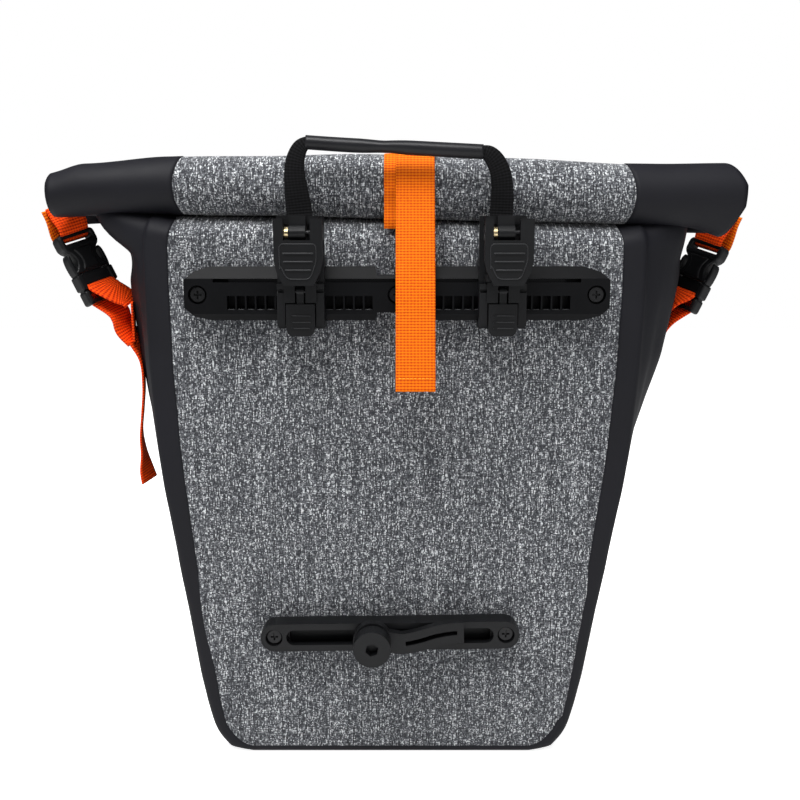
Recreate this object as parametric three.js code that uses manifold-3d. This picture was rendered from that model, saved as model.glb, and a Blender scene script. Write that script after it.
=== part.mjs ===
// Roll-top pannier bag with its rack hooks, in millimetres.
// +Z is up, the side that faces the rack looks along -Y, +X is to the right seen from the rack.
// The origin is the middle of the flat bottom.

import * as THREE from 'three';
import { mergeVertices } from 'three/addons/utils/BufferGeometryUtils.js';
import Module from 'manifold-3d';

const wasm = await Module();
wasm.setup();

// ---------------------------------------------------------------- driving dimensions

const GAP = 0.3;                        // space left between pieces that touch
const DEPTH = 150;                      // bag, front to back
const BACK = -DEPTH / 2;                // plane of the back panel
const FRONT = DEPTH / 2;
const WALL = 2.5;                       // coated fabric with its foam backing
const NECK = { back: -36, front: -25, shoulder: 380, slope: 392, top: 400 };
const NECK_MIDDLE = (NECK.back + NECK.front) / 2;
const CORNER = { back: 13, front: 38, foot: 6, toe: 20 };
const SHOULDER_START = 356;             // height where the back starts to lean in
const SLOPE_START = 300;                // height where the front starts to lean back

// distance from the middle to each side of the bag, and half width of its grey panels, by height
const SIDE_FOOT = [[0, 96], [3, 107], [10, 118], [22, 127], [40, 132], [70, 138], [117, 146], [190, 158.5]];
const BAG_LEFT = [...SIDE_FOOT, [260, 171], [330, 181.5], [352, 184], [360, 188], [365.5, 197], [370, 204],
  [377, 212], [384, 217], [400, 228]];
const BAG_RIGHT = [...SIDE_FOOT, [260, 173], [300, 184], [330, 191], [352, 194], [366, 198], [377, 204],
  [384, 212], [400, 228]];
const PANEL_SIDE = [[4, 97], [10, 108], [20, 116], [40, 122], [60, 127], [117, 135],
  [190, 141], [261, 149.5], [329, 152.5], [410, 152.5]];

const ROLL = { y: -56, z: 400.8, ry: 18.5, rz: 19, seam: 152.5, end: 230, taper: 0.9, tilt: 1.02 };
const BOARD = { y0: BACK + WALL + GAP, thick: 2, side: [[12, 90], [30, 106], [190, 130], [348, 138]] };

const RAIL = { x: 1, half: 139.2, low: 316.6, high: 351.8, face: 16, head: 8, lip: 344, foot: 321,
  screwX: 130.4, screwZ: 333.5 };
const WINDOW = { x: 2.1, apart: 64.6, width: 5.3, pitch: 6.42, low: 323.4, high: 332.8, deep: 8, each: 7 };
const GROOVE = { inner: 110, outer: 120, low: 341.6, high: 343.9, bed: 14.8, hole: 9 };
const RAIL_SCREW = { shank: 2.2, head: 4.8, bore: 6.2, bed: 11, top: 14.4 };

const HOOK = { left: -61, right: 69.2, half: 15.2, plateIn: 16.4, plateOut: 21, arch: 32, foot: 312, top: 384 };
const LEVER = { half: 15.2, q: 37.5, z: 373.5, r: 4.9, inner: 39.5, outer: 43.6, notch: 8.3 };
const TAB = { q: 25.2, z: 336.5, inner: 22, outer: 28 };
const PIN = { lever: 1.6, tab: 1.2, play: 0.15 };

const HANDLE = { q: 10, z: 427.5, r: 4.8, left: -54, right: 59, web: 16.4, webLeft: -62.8, webRight: 69.1,
  rootQ: 1.6, rootZ: 387, play: 1.2 };

const FOOT_RAIL = { x: -4, z: 95.8, half: 90.5, tall: 20, deep: 14.3, tilt: 0.8, holes: 81 };
const SLOT = { half: 72.5, tall: 11, cavity: 14.6, lip: 9, floor: 3 };
const KNOB = { x: -16, r: 12.6, back: 24.3, front: 36, shank: 3, hex: 8, deep: 6 };
const ARM = { inner: 16.6, outer: 22.6, hub: 13.5, width: 14.6, slot: 3.2 };

const WEB = { width: 25, thick: 1.8 };
const STRAP_X = 4.5;                    // middle of the centre closure strap
const TAIL_X = 12.2;                    // middle of its loose end

// ---------------------------------------------------------------- materials

function finish(color, roughness, metalness = 0) {
  return new THREE.MeshStandardMaterial({ color, roughness, metalness });
}

const heather = finish(0x696c6e, 0.9);
const coated = finish(0x232328, 0.7);
const board = finish(0x303032, 0.6);
const plastic = finish(0x26282a, 0.55);
const sleeve = finish(0x1c1c1e, 0.45);
const screw = finish(0x151516, 0.35, 0.8);
const spring = finish(0xb4a06e, 0.3, 1);
const orange = finish(0xfa7814, 0.8);
const blackWeb = finish(0x141416, 0.85);

// ---------------------------------------------------------------- shape helpers

const part = new THREE.Group();
part.name = 'pannier_bag';

/** Distance q out of the back panel, as a Y coordinate. */
function out(q) {
  return BACK - q;
}

/** Value of a table of [height, value] pairs at a height. */
function along(table, z) {
  const next = table.findIndex(([height]) => height >= z);
  if (next === 0) return table[0][1];
  if (next < 0) return table.at(-1)[1];
  const [z0, v0] = table[next - 1];
  const [z1, v1] = table[next];
  return v0 + ((v1 - v0) * (z - z0)) / (z1 - z0);
}

/** A closed geometry as a manifold solid. */
function solid(geometry) {
  const bare = geometry.clone();
  bare.deleteAttribute('normal');
  bare.deleteAttribute('uv');
  const merged = mergeVertices(bare, 1e-4);
  return new wasm.Manifold(new wasm.Mesh({
    numProp: 3,
    vertProperties: new Float32Array(merged.attributes.position.array),
    triVerts: new Uint32Array(merged.index.array),
  }));
}

/** A manifold solid as a geometry. */
function geometryOf(manifold) {
  const mesh = manifold.getMesh();
  const geometry = new THREE.BufferGeometry();
  geometry.setAttribute('position', new THREE.BufferAttribute(mesh.vertProperties, 3));
  geometry.setIndex(new THREE.BufferAttribute(mesh.triVerts, 1));
  geometry.computeVertexNormals();
  return geometry;
}

/** Adds one named mesh to the part, or to a group of it. */
function piece(name, manifold, material, parent = part) {
  const mesh = new THREE.Mesh(geometryOf(manifold), material);
  mesh.name = name;
  parent.add(mesh);
  return mesh;
}

function joined(...solids) {
  return solids.reduce((sum, next) => sum.add(next));
}

function cut(body, ...tools) {
  return tools.reduce((rest, tool) => rest.subtract(tool), body);
}

function extrude(points, depth) {
  const shape = new THREE.Shape(points.map(([x, y]) => new THREE.Vector2(x, y)));
  return new THREE.ExtrudeGeometry(shape, { depth, bevelEnabled: false });
}

/** Prism along X of an outline of [q, z] points. */
function prismX(points, x0, x1) {
  const turn = new THREE.Matrix4().makeBasis(
    new THREE.Vector3(0, 1, 0), new THREE.Vector3(0, 0, 1), new THREE.Vector3(1, 0, 0));
  const flat = points.map(([q, z]) => [out(q), z]);
  return solid(extrude(flat, x1 - x0).applyMatrix4(turn).translate(x0, 0, 0));
}

/** Prism along Y of an outline of [x, z] points, from distance q0 to q1 out of the back panel. */
function prismY(points, q0, q1) {
  return solid(extrude(points, q1 - q0).rotateX(Math.PI / 2).translate(0, out(q0), 0));
}

function box(x0, x1, q0, q1, z0, z1) {
  return prismX([[q0, z0], [q1, z0], [q1, z1], [q0, z1]], x0, x1);
}

function circle(cx, cy, r, steps = 20) {
  return Array.from({ length: steps }, (_, i) => {
    const angle = (2 * Math.PI * (i + 0.5)) / steps;
    return [cx + r * Math.cos(angle), cy + r * Math.sin(angle)];
  });
}

/** Round bar along X around the line at q, z. */
function rodX(q, z, r, x0, x1, steps = 16) {
  return prismX(circle(q, z, r, steps), x0, x1);
}

/** Round bar along Y around the line at x, z. */
function rodY(x, z, r, q0, q1, steps = 20) {
  return prismY(circle(x, z, r, steps), q0, q1);
}

/** Outline with round ends, from x0 to x1. */
function stadium(x0, x1, z, tall, steps = 8) {
  const r = tall / 2;
  const points = [];
  for (const [cx, start] of [[x1 - r, -Math.PI / 2], [x0 + r, Math.PI / 2]]) {
    for (let i = 0; i <= steps; i += 1) {
      const angle = start + (Math.PI * i) / steps;
      points.push([cx + r * Math.cos(angle), z + r * Math.sin(angle)]);
    }
  }
  return points;
}

/** Solid through a list of rings, each with the same number of [x, y, z] points. */
function loft(rings) {
  const count = rings[0].length;
  const position = rings.flat(2);
  const index = [];
  for (let r = 0; r + 1 < rings.length; r += 1) {
    for (let i = 0; i < count; i += 1) {
      const a = r * count + i;
      const b = r * count + ((i + 1) % count);
      index.push(a, b, b + count, a, b + count, a + count);
    }
  }
  const last = (rings.length - 1) * count;
  for (let i = 1; i + 1 < count; i += 1) {
    index.push(0, i + 1, i);
    index.push(last, last + i, last + i + 1);
  }
  const geometry = new THREE.BufferGeometry();
  geometry.setAttribute('position', new THREE.Float32BufferAttribute(position, 3));
  geometry.setIndex(index);
  return solid(geometry);
}

/** Flat strip of webbing along a list of { at, wide } stations, wide being its width direction. */
function ribbon(stations, width = WEB.width, thick = WEB.thick) {
  const rings = stations.map(({ at, wide }, i) => {
    const before = stations[Math.max(i - 1, 0)].at;
    const after = stations[Math.min(i + 1, stations.length - 1)].at;
    const forward = after.clone().sub(before).normalize();
    const side = wide.clone().addScaledVector(forward, -wide.dot(forward)).normalize();
    const face = forward.clone().cross(side);
    const corner = (w, t) => at.clone()
      .addScaledVector(side, (w * width) / 2).addScaledVector(face, (t * thick) / 2).toArray();
    return [corner(-1, -1), corner(1, -1), corner(1, 1), corner(-1, 1)];
  });
  return loft(rings);
}

/** Strip with its width along X, along a list of [y, z] points. */
function ribbonX(x, points, width = WEB.width) {
  const wide = new THREE.Vector3(1, 0, 0);
  return ribbon(points.map(([y, z]) => ({ at: new THREE.Vector3(x, y, z), wide })), width);
}

// ---------------------------------------------------------------- bag shell

/** Y of the bag's back at a height: a small foot radius, a flat back and a shoulder. */
function backAt(z) {
  const foot = Math.max(CORNER.foot - z, 0);
  const rise = THREE.MathUtils.clamp((z - SHOULDER_START) / (NECK.shoulder - SHOULDER_START), 0, 1);
  const footIn = CORNER.foot - Math.sqrt(CORNER.foot ** 2 - foot ** 2);
  return BACK + footIn + (NECK.back - BACK) * (1 - Math.sqrt(1 - rise ** 2));
}

/** Y of the bag's front at a height: a toe radius, a flat front and a slope up to the neck. */
function frontAt(z) {
  const toe = Math.max(CORNER.toe - z, 0);
  const rise = THREE.MathUtils.clamp((z - SLOPE_START) / (NECK.slope - SLOPE_START), 0, 1);
  const toeIn = CORNER.toe - Math.sqrt(CORNER.toe ** 2 - toe ** 2);
  return FRONT - toeIn - (FRONT - NECK.front) * rise ** 1.6;
}

/** Ring of the bag's wall at a height, moved inwards by inset and drawn at height drawn. */
function bagRing(z, inset, drawn) {
  const left = along(BAG_LEFT, z);
  const right = along(BAG_RIGHT, z);
  const back = backAt(z) + inset;
  const front = frontAt(z) - inset;
  const room = (front - back) / 2 - 0.4;
  const seam = along(PANEL_SIDE, z);
  const leftR = Math.min(Math.max(CORNER.back, left - seam) - inset, room);
  const rightR = Math.min(Math.max(CORNER.back, right - seam) - inset, room);
  const frontR = Math.min(CORNER.front - inset, room);
  const x0 = inset - left;
  const x1 = right - inset;
  const corners = [[x0 + leftR, back + leftR, leftR, Math.PI],
    [x1 - rightR, back + rightR, rightR, 1.5 * Math.PI],
    [x1 - frontR, front - frontR, frontR, 0],
    [x0 + frontR, front - frontR, frontR, 0.5 * Math.PI]];
  const steps = 4;
  return corners.flatMap(([cx, cy, r, start]) => Array.from({ length: steps + 1 }, (_, i) => {
    const angle = start + (Math.PI / 2) * (i / steps);
    return [cx + r * Math.cos(angle), cy + r * Math.sin(angle), drawn];
  }));
}

const LEVELS = [0, 3, 7, 14, 24, 40, 70, 117, 190, 260, 300, 330, 352, 360, 365.5, 370, 375, 378, 380,
  384, 392, NECK.top];

function innerHeight(z) {
  if (z <= 14) return z + WALL;
  return z < 340 ? z : z - WALL;
}

/** Outline of the grey panels in [x, z], grown by grow. */
function panelOutline(grow) {
  const right = PANEL_SIDE.map(([z, half]) => [half + grow, z]);
  right[0][1] -= grow;
  return [...right, ...right.map(([x, z]) => [-x, z]).reverse()];
}

const shell = cut(
  loft(LEVELS.map((z) => bagRing(z, 0, z))),
  loft([...LEVELS.map((z) => bagRing(z, WALL, innerHeight(z))), bagRing(NECK.top, WALL, NECK.top + 5)]),
);

const backReach = -(NECK_MIDDLE - BACK) - 0.001;
const backScrewXs = [RAIL.x - RAIL.screwX, RAIL.x, RAIL.x + RAIL.screwX];
const tilt = THREE.MathUtils.degToRad(FOOT_RAIL.tilt);
const footScrews = [-1, 1].map((side) => [
  FOOT_RAIL.x + side * FOOT_RAIL.holes * Math.cos(tilt),
  FOOT_RAIL.z + side * FOOT_RAIL.holes * Math.sin(tilt)]);
const screwSpots = [...backScrewXs.map((x) => [x, RAIL.screwZ]), ...footScrews];
const shankHoles = screwSpots.map(([x, z]) => rodY(x, z, RAIL_SCREW.shank + 0.4, -12, 4, 12));

piece('back_panel', cut(
  shell.intersect(prismY(panelOutline(0), backReach, 10)), ...shankHoles), heather);
piece('front_panel', shell.intersect(prismY(panelOutline(0), -DEPTH - 10, backReach - GAP)), heather);
piece('side_gusset', cut(shell, prismY(panelOutline(GAP), -DEPTH - 10, 10)), coated);

const boardRight = BOARD.side.map(([z, half]) => [half, z]);
const boardOutline = [...boardRight, ...boardRight.map(([x, z]) => [-x, z]).reverse()];
const boardIn = BACK - BOARD.y0;
piece('stiffener_board', cut(prismY(boardOutline, boardIn - BOARD.thick, boardIn), ...shankHoles), board);

// ---------------------------------------------------------------- rolled top

const roll = new THREE.Group();
roll.rotation.y = THREE.MathUtils.degToRad(ROLL.tilt);
roll.position.set(0, 0, ROLL.z);
part.add(roll);

function rollRing(x, scale, steps = 24) {
  return circle(0, 0, 1, steps).map(([c, s]) => [
    x, ROLL.y + ROLL.ry * scale * c, ROLL.rz * (scale - 1) * 0.4 + ROLL.rz * scale * s]);
}

const slat = { half: ROLL.seam - 1, q: BACK - ROLL.y, thick: 2.4, tall: 22, play: 0.6 };
const slatBox = (half, grow) => box(-half, half, slat.q - slat.thick / 2 - grow, slat.q + slat.thick / 2 + grow,
  -slat.tall / 2 - grow, slat.tall / 2 + grow);
piece('roll_center', cut(loft([rollRing(-ROLL.seam, 1), rollRing(ROLL.seam, 1)]),
  slatBox(ROLL.seam + 1, slat.play)), heather, roll);
piece('roll_stiffener', slatBox(slat.half, 0), board, roll);
const seamX = ROLL.seam + GAP;
const rollEnd = [rollRing(seamX, 1), rollRing(ROLL.end - 25, 1), rollRing(ROLL.end, ROLL.taper)];
piece('roll_end_right', loft(rollEnd), coated, roll);
const mirrored = rollEnd.map((ring) => ring.map(([x, y, z]) => [-x, y, z])).reverse();
piece('roll_end_left', loft(mirrored), coated, roll);

// ---------------------------------------------------------------- upper hook rail

const railSection = [[GAP, 322], [RAIL.head, 322], [RAIL.head, RAIL.low], [12, RAIL.low],
  [RAIL.face, RAIL.foot], [RAIL.face, RAIL.lip], [9.5, RAIL.high], [RAIL.head, RAIL.high],
  [RAIL.head, 346], [GAP, 346]];
const railTop = [[13, 346], [14.5, RAIL.high + 1], [119, RAIL.high + 1], [133, 348.5], [RAIL.half, 343]];
const railFoot = [[RAIL.half, 325], [133, 319.5], [119, RAIL.low - 1], [14.5, RAIL.low - 1], [13, 322]];
const railRight = [...railFoot.slice().reverse(), ...railTop.slice().reverse()];
const railOutline = [...railRight, ...railRight.map(([x, z]) => [-x, z]).reverse()]
  .map(([x, z]) => [x + RAIL.x, z]);
const railCuts = [];
for (const side of [-1, 1]) {
  for (let i = -WINDOW.each; i <= WINDOW.each; i += 1) {
    const x = WINDOW.x + side * WINDOW.apart + i * WINDOW.pitch;
    railCuts.push(box(x - WINDOW.width / 2, x + WINDOW.width / 2, WINDOW.deep, RAIL.face + 1,
      WINDOW.low, WINDOW.high));
  }
  const ends = [RAIL.x + side * GROOVE.inner, RAIL.x + side * GROOVE.outer].sort((a, b) => a - b);
  railCuts.push(box(...ends, GROOVE.hole, RAIL.face + 1, GROOVE.low, GROOVE.high));
}
railCuts.push(box(RAIL.x - GROOVE.inner, RAIL.x + GROOVE.inner, GROOVE.bed, RAIL.face + 1,
  GROOVE.low, GROOVE.high));
const railBores = backScrewXs.flatMap((x) => [
  rodY(x, RAIL.screwZ, RAIL_SCREW.shank + 0.3, -1, 20, 12),
  rodY(x, RAIL.screwZ, RAIL_SCREW.bore, RAIL_SCREW.bed, 20)]);
piece('hook_rail', cut(
  prismX(railSection, RAIL.x - RAIL.half, RAIL.x + RAIL.half).intersect(prismY(railOutline, 0, 20)),
  ...railCuts, ...railBores), plastic);

/** Screw from the rail through panel and board, with its washer inside the bag. */
function railScrew(suffix, x, z, bed, top, parent = part) {
  const inner = boardIn - BOARD.thick - GAP;
  const head = rodY(x, z, RAIL_SCREW.head, bed + 0.2, top, 20);
  const recess = joined(box(x - 2.6, x + 2.6, top - 2, top + 1, z - 0.6, z + 0.6),
    box(x - 0.6, x + 0.6, top - 2, top + 1, z - 2.6, z + 2.6));
  const shank = rodY(x, z, RAIL_SCREW.shank, inner - 3, bed + 1, 12);
  piece(`${suffix}_screw`, cut(joined(head, shank), recess), screw, parent);
  const ring = cut(rodY(x, z, 7, inner - 1.6, inner, 16), rodY(x, z, RAIL_SCREW.shank + 0.2, -20, 0, 12));
  piece(`${suffix}_washer`, ring, screw, parent);
}

['rail_left', 'rail_center', 'rail_right'].forEach((name, i) => {
  railScrew(name, backScrewXs[i], RAIL.screwZ, RAIL_SCREW.bed, RAIL_SCREW.top);
});

// ---------------------------------------------------------------- quick-release hooks

/** Outline of a tapering pad, from [half width, z] pairs going down, centred on x. */
function padOutline(x, halves) {
  return [...halves.map(([half, z]) => [x - half, z]), ...halves.map(([half, z]) => [x + half, z]).reverse()];
}

/** One hook, centred on x: body, lever with pin and spring, lock tab with pin. The lever sits askew by play. */
function rackHook(side, x, play) {
  const wide = (a, b, q0, q1, z0, z1) => box(x + a, x + b, q0, q1, z0, z1);
  const both = (a, b, ...rest) => joined(wide(a, b, ...rest), wide(-b, -a, ...rest));
  const h = HOOK.half;
  const leverBore = rodX(LEVER.q, LEVER.z, PIN.lever + PIN.play, x - 20, x + 20);
  const tabBore = rodX(TAB.q, TAB.z, PIN.tab + PIN.play, x - 20, x + 20);
  const clamp = joined(
    wide(-h, h, HOOK.plateIn, HOOK.plateOut, HOOK.foot, HOOK.top),
    wide(-h, h, 3.8, 17, 352.2, 356), wide(-h, h, 3.8, 7.6, 346.6, 353),
    wide(-h, h, 3.8, 17, HOOK.foot, 316.2), wide(-h, h, 3.8, 7.6, 315, 321.4));
  const arch = joined(wide(-12.5, 12.5, 20, HOOK.arch, 379, HOOK.top),
    wide(-5.2, 5.2, HOOK.arch - 1, LEVER.q, 375, HOOK.top),
    rodX(LEVER.q, LEVER.z, 4.5, x - 5.2, x + 5.2));
  const yoke = joined(both(10, h, 20, 26, 314, 341), both(3.4, 10.5, 20, 27.5, 329, 342));
  piece(`${side}_hook_body`, cut(joined(clamp, arch, yoke), leverBore, tabBore), plastic);

  const left = play - LEVER.half;
  const right = play + LEVER.half;
  const shield = padOutline(x + play, [[15.2, 382], [15.2, 356], [13.8, 349.5], [9.4, 340.8]]);
  const pad = padOutline(x + play, [[11.2, 366.4], [11.2, 357], [10, 350.5], [7, 345]]);
  const ears = joined(rodX(LEVER.q, LEVER.z, LEVER.r, x + left, x + right),
    wide(left, right, LEVER.q, LEVER.inner + 0.2, 368.8, 378.2));
  const ribs = [360.6, 355.5, 350.3].map((z) => wide(play - 8.6, play + 8.6, LEVER.outer, LEVER.outer + 1,
    z - 0.6, z + 0.6));
  const claw = wide(-12, 12, 24, LEVER.inner + 0.5, 343.2, 347.2);
  const notch = wide(-LEVER.notch, LEVER.notch, 25, 45, 368.8, 390);
  piece(`${side}_hook_lever`, cut(joined(prismY(shield, LEVER.inner, LEVER.outer),
    prismY(pad, LEVER.outer - 0.5, LEVER.outer + 0.4), ears, claw, ...ribs), notch, leverBore), plastic);
  piece(`${side}_lever_pin`, rodX(LEVER.q, LEVER.z, PIN.lever, x - 13, x + 13), screw);
  piece(`${side}_lever_spring`, cut(
    rodX(LEVER.q, LEVER.z, 3.7, x - 8, x - 5.6), rodX(LEVER.q, LEVER.z, 2, x - 9, x - 5)), spring);

  const tab = padOutline(x, [[9.3, 328.2], [9.3, 313], [8.4, 309.4], [6.2, 307.6]]);
  const stem = joined(wide(-2.3, 2.3, 23.2, 27, 327, TAB.z), rodX(TAB.q, TAB.z, 2.6, x - 2.3, x + 2.3));
  const tabRibs = [320.6, 316.5, 312.6].map((z) => wide(-6, 6, TAB.outer - 0.5, TAB.outer + 0.6,
    z - 0.5, z + 0.5));
  piece(`${side}_lock_tab`, cut(
    joined(prismY(tab, TAB.inner, TAB.outer), stem, ...tabRibs), tabBore), plastic);
  piece(`${side}_lock_tab_pin`, rodX(TAB.q, TAB.z, PIN.tab, x - 9.6, x + 9.6, 12), screw);
}

rackHook('left', HOOK.left, 0.8);
rackHook('right', HOOK.right, 1.6);

// ---------------------------------------------------------------- carrying handle

piece('handle_grip', rodX(HANDLE.q, HANDLE.z, HANDLE.r, HANDLE.left, HANDLE.right, 16), sleeve);
for (const [name, x] of [['left', HANDLE.webLeft], ['right', HANDLE.webRight]]) {
  const root = [[out(HANDLE.rootQ), 353], [out(HANDLE.rootQ), HANDLE.rootZ - HANDLE.play]];
  const rising = [[out(HANDLE.rootQ), HANDLE.rootZ + HANDLE.play], [out(5), 405], [out(HANDLE.q), 431]];
  piece(`handle_anchor_${name}`, ribbonX(x, root, HANDLE.web), blackWeb);
  piece(`handle_webbing_${name}`, ribbonX(x, rising, HANDLE.web), blackWeb);
}

// ---------------------------------------------------------------- lower rail and swivel hook

const foot = new THREE.Group();
foot.rotation.y = -tilt;
foot.position.set(FOOT_RAIL.x, 0, FOOT_RAIL.z);
part.add(foot);

const footHalf = FOOT_RAIL.half;
const footSection = prismY(stadium(-footHalf, footHalf, 0, FOOT_RAIL.tall), GAP, FOOT_RAIL.deep);
const footSlot = joined(
  prismY(stadium(-SLOT.half, SLOT.half, 0, SLOT.tall), SLOT.lip - 1, 20),
  box(-SLOT.half + 2, SLOT.half - 2, SLOT.floor, SLOT.lip, -SLOT.cavity / 2, SLOT.cavity / 2));
const footBores = [-FOOT_RAIL.holes, FOOT_RAIL.holes].flatMap((x) => [
  rodY(x, 0, RAIL_SCREW.shank + 0.3, -1, 20, 12), rodY(x, 0, 6, 8.5, 20)]);
piece('lower_rail', cut(footSection, footSlot, ...footBores), plastic, foot);
railScrew('lower_left', -FOOT_RAIL.holes, 0, 8.5, 12, foot);
railScrew('lower_right', FOOT_RAIL.holes, 0, 8.5, 12, foot);

const knobX = KNOB.x - FOOT_RAIL.x;
const shankRoom = rodY(knobX, 0, KNOB.shank + 0.25, -1, 40, 16);
piece('slide_nut', cut(box(knobX - 9, knobX + 9, SLOT.floor + GAP, SLOT.lip - GAP, -7, 7), shankRoom),
  screw, foot);
piece('clamp_washer', cut(rodY(knobX, 0, 10, FOOT_RAIL.deep + GAP, ARM.inner - GAP), shankRoom),
  screw, foot);

// centre line of the curved arm, from its hub out to its tip
const armLine = new THREE.CatmullRomCurve3([[0, 0], [12, -0.5], [20, -2], [32, 0], [44, 3.6], [56, 5.6],
  [63, 5.8]].map(([x, z]) => new THREE.Vector3(knobX + x, 0, z)));
const across = (from, to, width, steps) => {
  const upper = [];
  const lower = [];
  for (let i = 0; i <= steps; i += 1) {
    const t = from + ((to - from) * i) / steps;
    const at = armLine.getPointAt(t);
    const forward = armLine.getTangentAt(t);
    upper.push([at.x - (forward.z * width) / 2, at.z + (forward.x * width) / 2]);
    lower.push([at.x + (forward.z * width) / 2, at.z - (forward.x * width) / 2]);
  }
  return [...lower, ...upper.reverse()];
};
piece('swivel_hook', cut(
  joined(prismY(across(0.02, 1, ARM.width, 14), ARM.inner, ARM.outer),
    rodY(knobX, 0, ARM.hub, ARM.inner, ARM.outer, 28)),
  prismY(across(0.36, 0.93, ARM.slot, 10), 10, 30), shankRoom), plastic, foot);

const hexagon = Array.from({ length: 6 }, (_, i) => {
  const angle = (Math.PI / 3) * i + 0.3;
  const r = KNOB.hex / Math.sqrt(3);
  return [knobX + r * Math.cos(angle), r * Math.sin(angle)];
});
piece('clamp_knob', cut(
  joined(rodY(knobX, 0, KNOB.r, KNOB.back, KNOB.front, 36),
    rodY(knobX, 0, 9, ARM.outer + GAP, KNOB.back + 1, 24),
    rodY(knobX, 0, KNOB.shank, SLOT.floor + 1, KNOB.back + 1, 16)),
  prismY(hexagon, KNOB.front - KNOB.deep, KNOB.front + 1)), plastic, foot);

// ---------------------------------------------------------------- side-release buckles

/** Basis that carries X to the strap's width and -Z to the direction its lower half pulls in. */
function buckleFrame(centre, pull, wide) {
  const up = pull.clone().negate().normalize();
  const side = wide.clone().addScaledVector(up, -wide.dot(up)).normalize();
  const face = up.clone().cross(side);
  return new THREE.Matrix4().makeBasis(side, face, up).setPosition(centre);
}

function plainBox(x0, x1, y0, y1, z0, z1) {
  return solid(new THREE.BoxGeometry(x1 - x0, y1 - y0, z1 - z0)
    .translate((x0 + x1) / 2, (y0 + y1) / 2, (z0 + z1) / 2));
}

/** Female half above z = 0 and male half below it, with the prongs reaching up inside. */
function buckle(names, frame) {
  const pair = new THREE.Group();
  pair.applyMatrix4(frame);
  part.add(pair);
  const sleeveHalf = cut(
    joined(plainBox(-15.5, 15.5, -4.5, 4.5, 0, 20), plainBox(-15, 15, -3.5, 3.5, 19, 29)),
    plainBox(-13.3, 13.3, -2.8, 2.8, -1, 17.5),
    plainBox(-20, 20, -2.4, 2.4, 5, 14),
    plainBox(-13, 13, -6, 6, 22.2, 25.8));
  const prongs = joined(
    plainBox(-15, 15, -3.6, 3.6, -22, -0.4), plainBox(-12.9, -9.2, -2, 2, -1, 16),
    plainBox(9.2, 12.9, -2, 2, -1, 16), plainBox(-2, 2, -2, 2, -1, 13));
  const ladder = joined(plainBox(-13, 13, -6, 6, -18.6, -14.8), plainBox(-13, 13, -6, 6, -10.6, -6.8));
  piece(names[0], sleeveHalf, plastic, pair);
  piece(names[1], cut(prongs, ladder), plastic, pair);
}

// ---------------------------------------------------------------- side straps

/** Strap at one side: roll end to buckle, buckle to bag, and the loose tail, which hangs spread off the side. */
function sideStrap(name, sign, at, rise, spread) {
  const spot = (x, dy, z) => new THREE.Vector3(sign * (x + spread), at.y + dy, z);
  const centre = new THREE.Vector3(sign * at.x, at.y, at.z);
  const pull = new THREE.Vector3(-sign * 0.42, 0, -0.907);
  const wide = new THREE.Vector3(-sign * 0.54, 0.8, 0.25);
  const sewn = new THREE.Vector3(0, 1, 0);
  buckle([`${name}_buckle_female`, `${name}_buckle_male`], buckleFrame(centre, pull, wide));
  const above = centre.clone().addScaledVector(pull, -29.8);
  const below = centre.clone().addScaledVector(pull, 22.6);
  piece(`${name}_strap_upper`, ribbon([
    { at: above, wide }, { at: above.clone().addScaledVector(pull, -rise), wide }]), orange);
  const lower = new THREE.CatmullRomCurve3([below, below.clone().addScaledVector(pull, 4), spot(196, 1, 314.5),
    spot(189, 2, 306.5), spot(183.5, 2, 299.5), spot(181.2, 2, 291)]);
  const bends = 10;
  piece(`${name}_strap_lower`, ribbon(Array.from({ length: bends + 1 }, (_, i) => ({
    at: lower.getPointAt(i / bends),
    wide: wide.clone().lerp(sewn, THREE.MathUtils.smoothstep(i / bends, 0.2, 0.85)),
  }))), orange);
  piece(`${name}_strap_tail`, ribbon([
    { at: spot(180, 2, 288.6), wide: sewn }, { at: spot(177, 2, 262), wide: sewn },
    { at: spot(176, 2, 236), wide: sewn }, { at: spot(174, 2, 212), wide: sewn }]), orange);
}

sideStrap('left', -1, { x: 213.7, y: -42, z: 347 }, 4, 0);
sideStrap('right', 1, { x: 215, y: -20, z: 340 }, 8, 6);

// ---------------------------------------------------------------- centre closure strap

/** Points of the roll's surface, lifted off it, from one angle to another in degrees. */
function overRoll(lift, from, to, steps) {
  return Array.from({ length: steps + 1 }, (_, i) => {
    const angle = THREE.MathUtils.degToRad(from + ((to - from) * i) / steps);
    return [ROLL.y + (ROLL.ry + lift) * Math.cos(angle), ROLL.z + (ROLL.rz + lift) * Math.sin(angle)];
  });
}

/** Points down the front of the bag, lifted off it. */
function downFront(lift, heights) {
  return heights.map((z) => [frontAt(z) + lift, z + lift * 0.7]);
}

const under = 1.4;
const over = 3.6;
const strapFoot = 316;
piece('closure_strap', ribbonX(STRAP_X, [[out(1.5), 374], [out(1.5), 392], ...overRoll(under, 170, 30, 9),
  [-24, 403.5], ...downFront(under + 1, [385, 372, 356, 338, strapFoot])]), orange);
piece('closure_strap_tail', ribbonX(TAIL_X, [[out(37), 272], [out(32), 292], [out(26), 320], [out(20.8), 345],
  [out(14), 370], [out(7.5), 392], ...overRoll(over, 165, 34, 9), [-21, 407],
  ...downFront(over + 1.5, [385, 372, 356])]), orange);

const frontY = FRONT + 6.5;
buckle(['front_buckle_female', 'front_buckle_male'], buckleFrame(
  new THREE.Vector3(STRAP_X, frontY, 270), new THREE.Vector3(0, 0, 1), new THREE.Vector3(1, 0, 0)));
piece('front_anchor_webbing', ribbonX(STRAP_X, [[FRONT + 1.4, 196], [FRONT + 1.4, 222], [frontY - 1, 236],
  [frontY, 240.4]]), orange);
piece('front_buckle_loop', ribbonX(STRAP_X, [[frontY, 293], [frontY - 0.5, 303],
  [frontAt(strapFoot) + 5.2, strapFoot - 1]]), orange);

export default part;
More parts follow.
